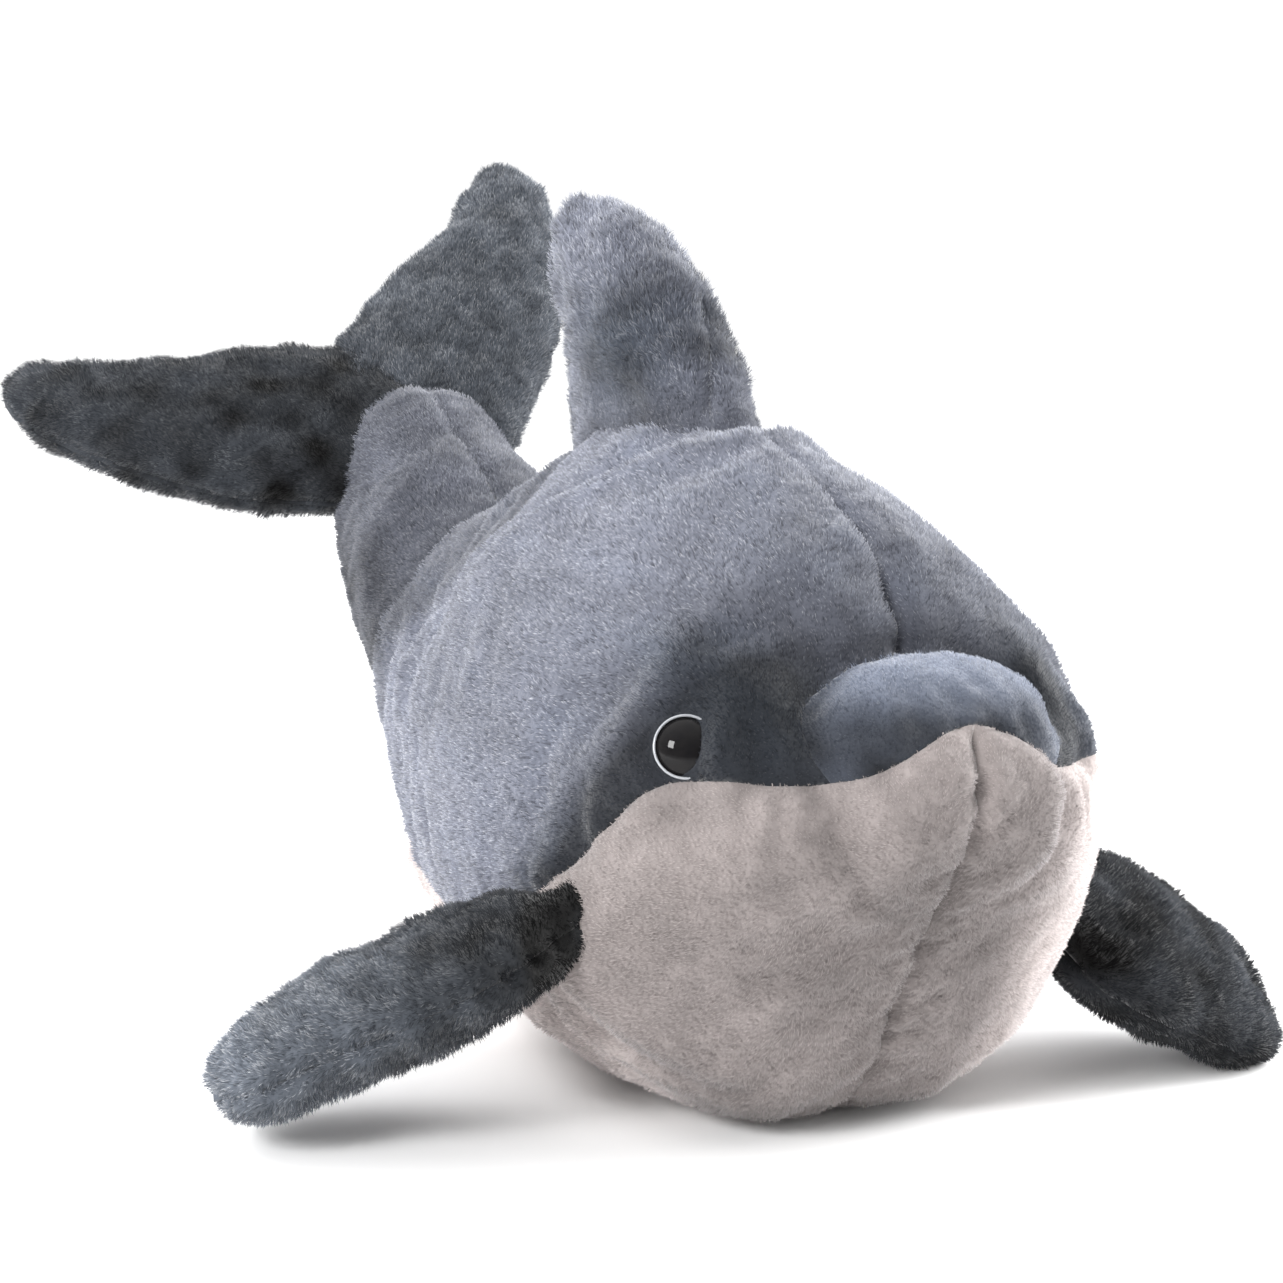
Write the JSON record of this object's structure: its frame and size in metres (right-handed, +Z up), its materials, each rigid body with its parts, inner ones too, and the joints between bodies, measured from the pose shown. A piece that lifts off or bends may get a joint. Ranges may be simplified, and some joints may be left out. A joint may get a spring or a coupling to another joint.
{
  "type": "plush dolphin",
  "caption": "Stuffed plush dolphin with a grey back, pale belly, arched mouth seam, dome safety eyes, flippers, dorsal fin and a raised tail with flukes.",
  "frame": {"origin": "middle of the whole toy's box, on the surface that the belly lies on", "axes": "+Z up, -Y to the beak's side, +Y to the flukes, +X to the dolphin's left flipper"},
  "size_m": [0.3214, 0.4312, 0.248],
  "materials": {
    "back": "blue-grey short-pile plush",
    "beak": "darker, shorter blue-grey plush",
    "belly": "pale beige-grey short-pile plush",
    "fin": "dark blue-grey longer-pile plush",
    "filling": "white polyester fibre filling",
    "eye": "glossy black dome",
    "washer": "white lock washer, hidden inside"
  },
  "bodies": {
    "torso": {"belly_left": "belly", "belly_right": "belly", "back_left": "back", "back_right": "back", "beak_top": "beak", "torso_stuffing": "filling", "eye_left": "eye", "eye_right": "eye", "eye_washer_left": "washer", "eye_washer_right": "washer"},
    "tail": {"tail_left": "back", "tail_right": "back", "tail_under": "belly", "tail_stuffing": "filling"},
    "dorsal_fin": {"dorsal_left": "back", "dorsal_right": "back", "dorsal_stuffing": "filling"},
    "flipper_left": {"flipper_left_top": "fin", "flipper_left_under": "fin", "flipper_left_stuffing": "filling"},
    "flipper_right": {"flipper_right_top": "fin", "flipper_right_under": "fin", "flipper_right_stuffing": "filling"},
    "fluke_left": {"fluke_left_top": "fin", "fluke_left_under": "fin", "fluke_left_stuffing": "filling"},
    "fluke_right": {"fluke_right_top": "fin", "fluke_right_under": "fin", "fluke_right_stuffing": "filling"}
  },
  "joints": [
    {"name": "tail_bend", "type": "hinge", "parent": "torso", "child": "tail", "pos_m": [0.00081, 0.06138, 0.09787], "axis": [1, 0, 0], "range_deg": [-10, 10], "stiffness_Nm_per_rad": 4},
    {"name": "dorsal_lean", "type": "hinge", "parent": "torso", "child": "dorsal_fin", "pos_m": [0.00081, -0.04645, 0.18027], "axis": [0, 0.9731, -0.2302], "range_deg": [-10, 10], "stiffness_Nm_per_rad": 0.8},
    {"name": "left_flipper_flap", "type": "hinge", "parent": "torso", "child": "flipper_left", "pos_m": [0.07526, -0.14168, 0.05718], "axis": [0.096, 0.9897, -0.1066], "range_deg": [-12, 12], "stiffness_Nm_per_rad": 0.8},
    {"name": "right_flipper_flap", "type": "hinge", "parent": "torso", "child": "flipper_right", "pos_m": [-0.07365, -0.14168, 0.05718], "axis": [-0.096, 0.9897, -0.1066], "range_deg": [-12, 12], "stiffness_Nm_per_rad": 0.8},
    {"name": "left_fluke_flap", "type": "hinge", "parent": "tail", "child": "fluke_left", "pos_m": [0.03032, 0.12234, 0.162], "axis": [-0.2241, 0.8365, 0.5], "range_deg": [-12, 12], "stiffness_Nm_per_rad": 0.8},
    {"name": "right_fluke_flap", "type": "hinge", "parent": "tail", "child": "fluke_right", "pos_m": [-0.02871, 0.12222, 0.13573], "axis": [-0.2241, 0.8365, 0.5], "range_deg": [-12, 12], "stiffness_Nm_per_rad": 0.8}
  ]
}
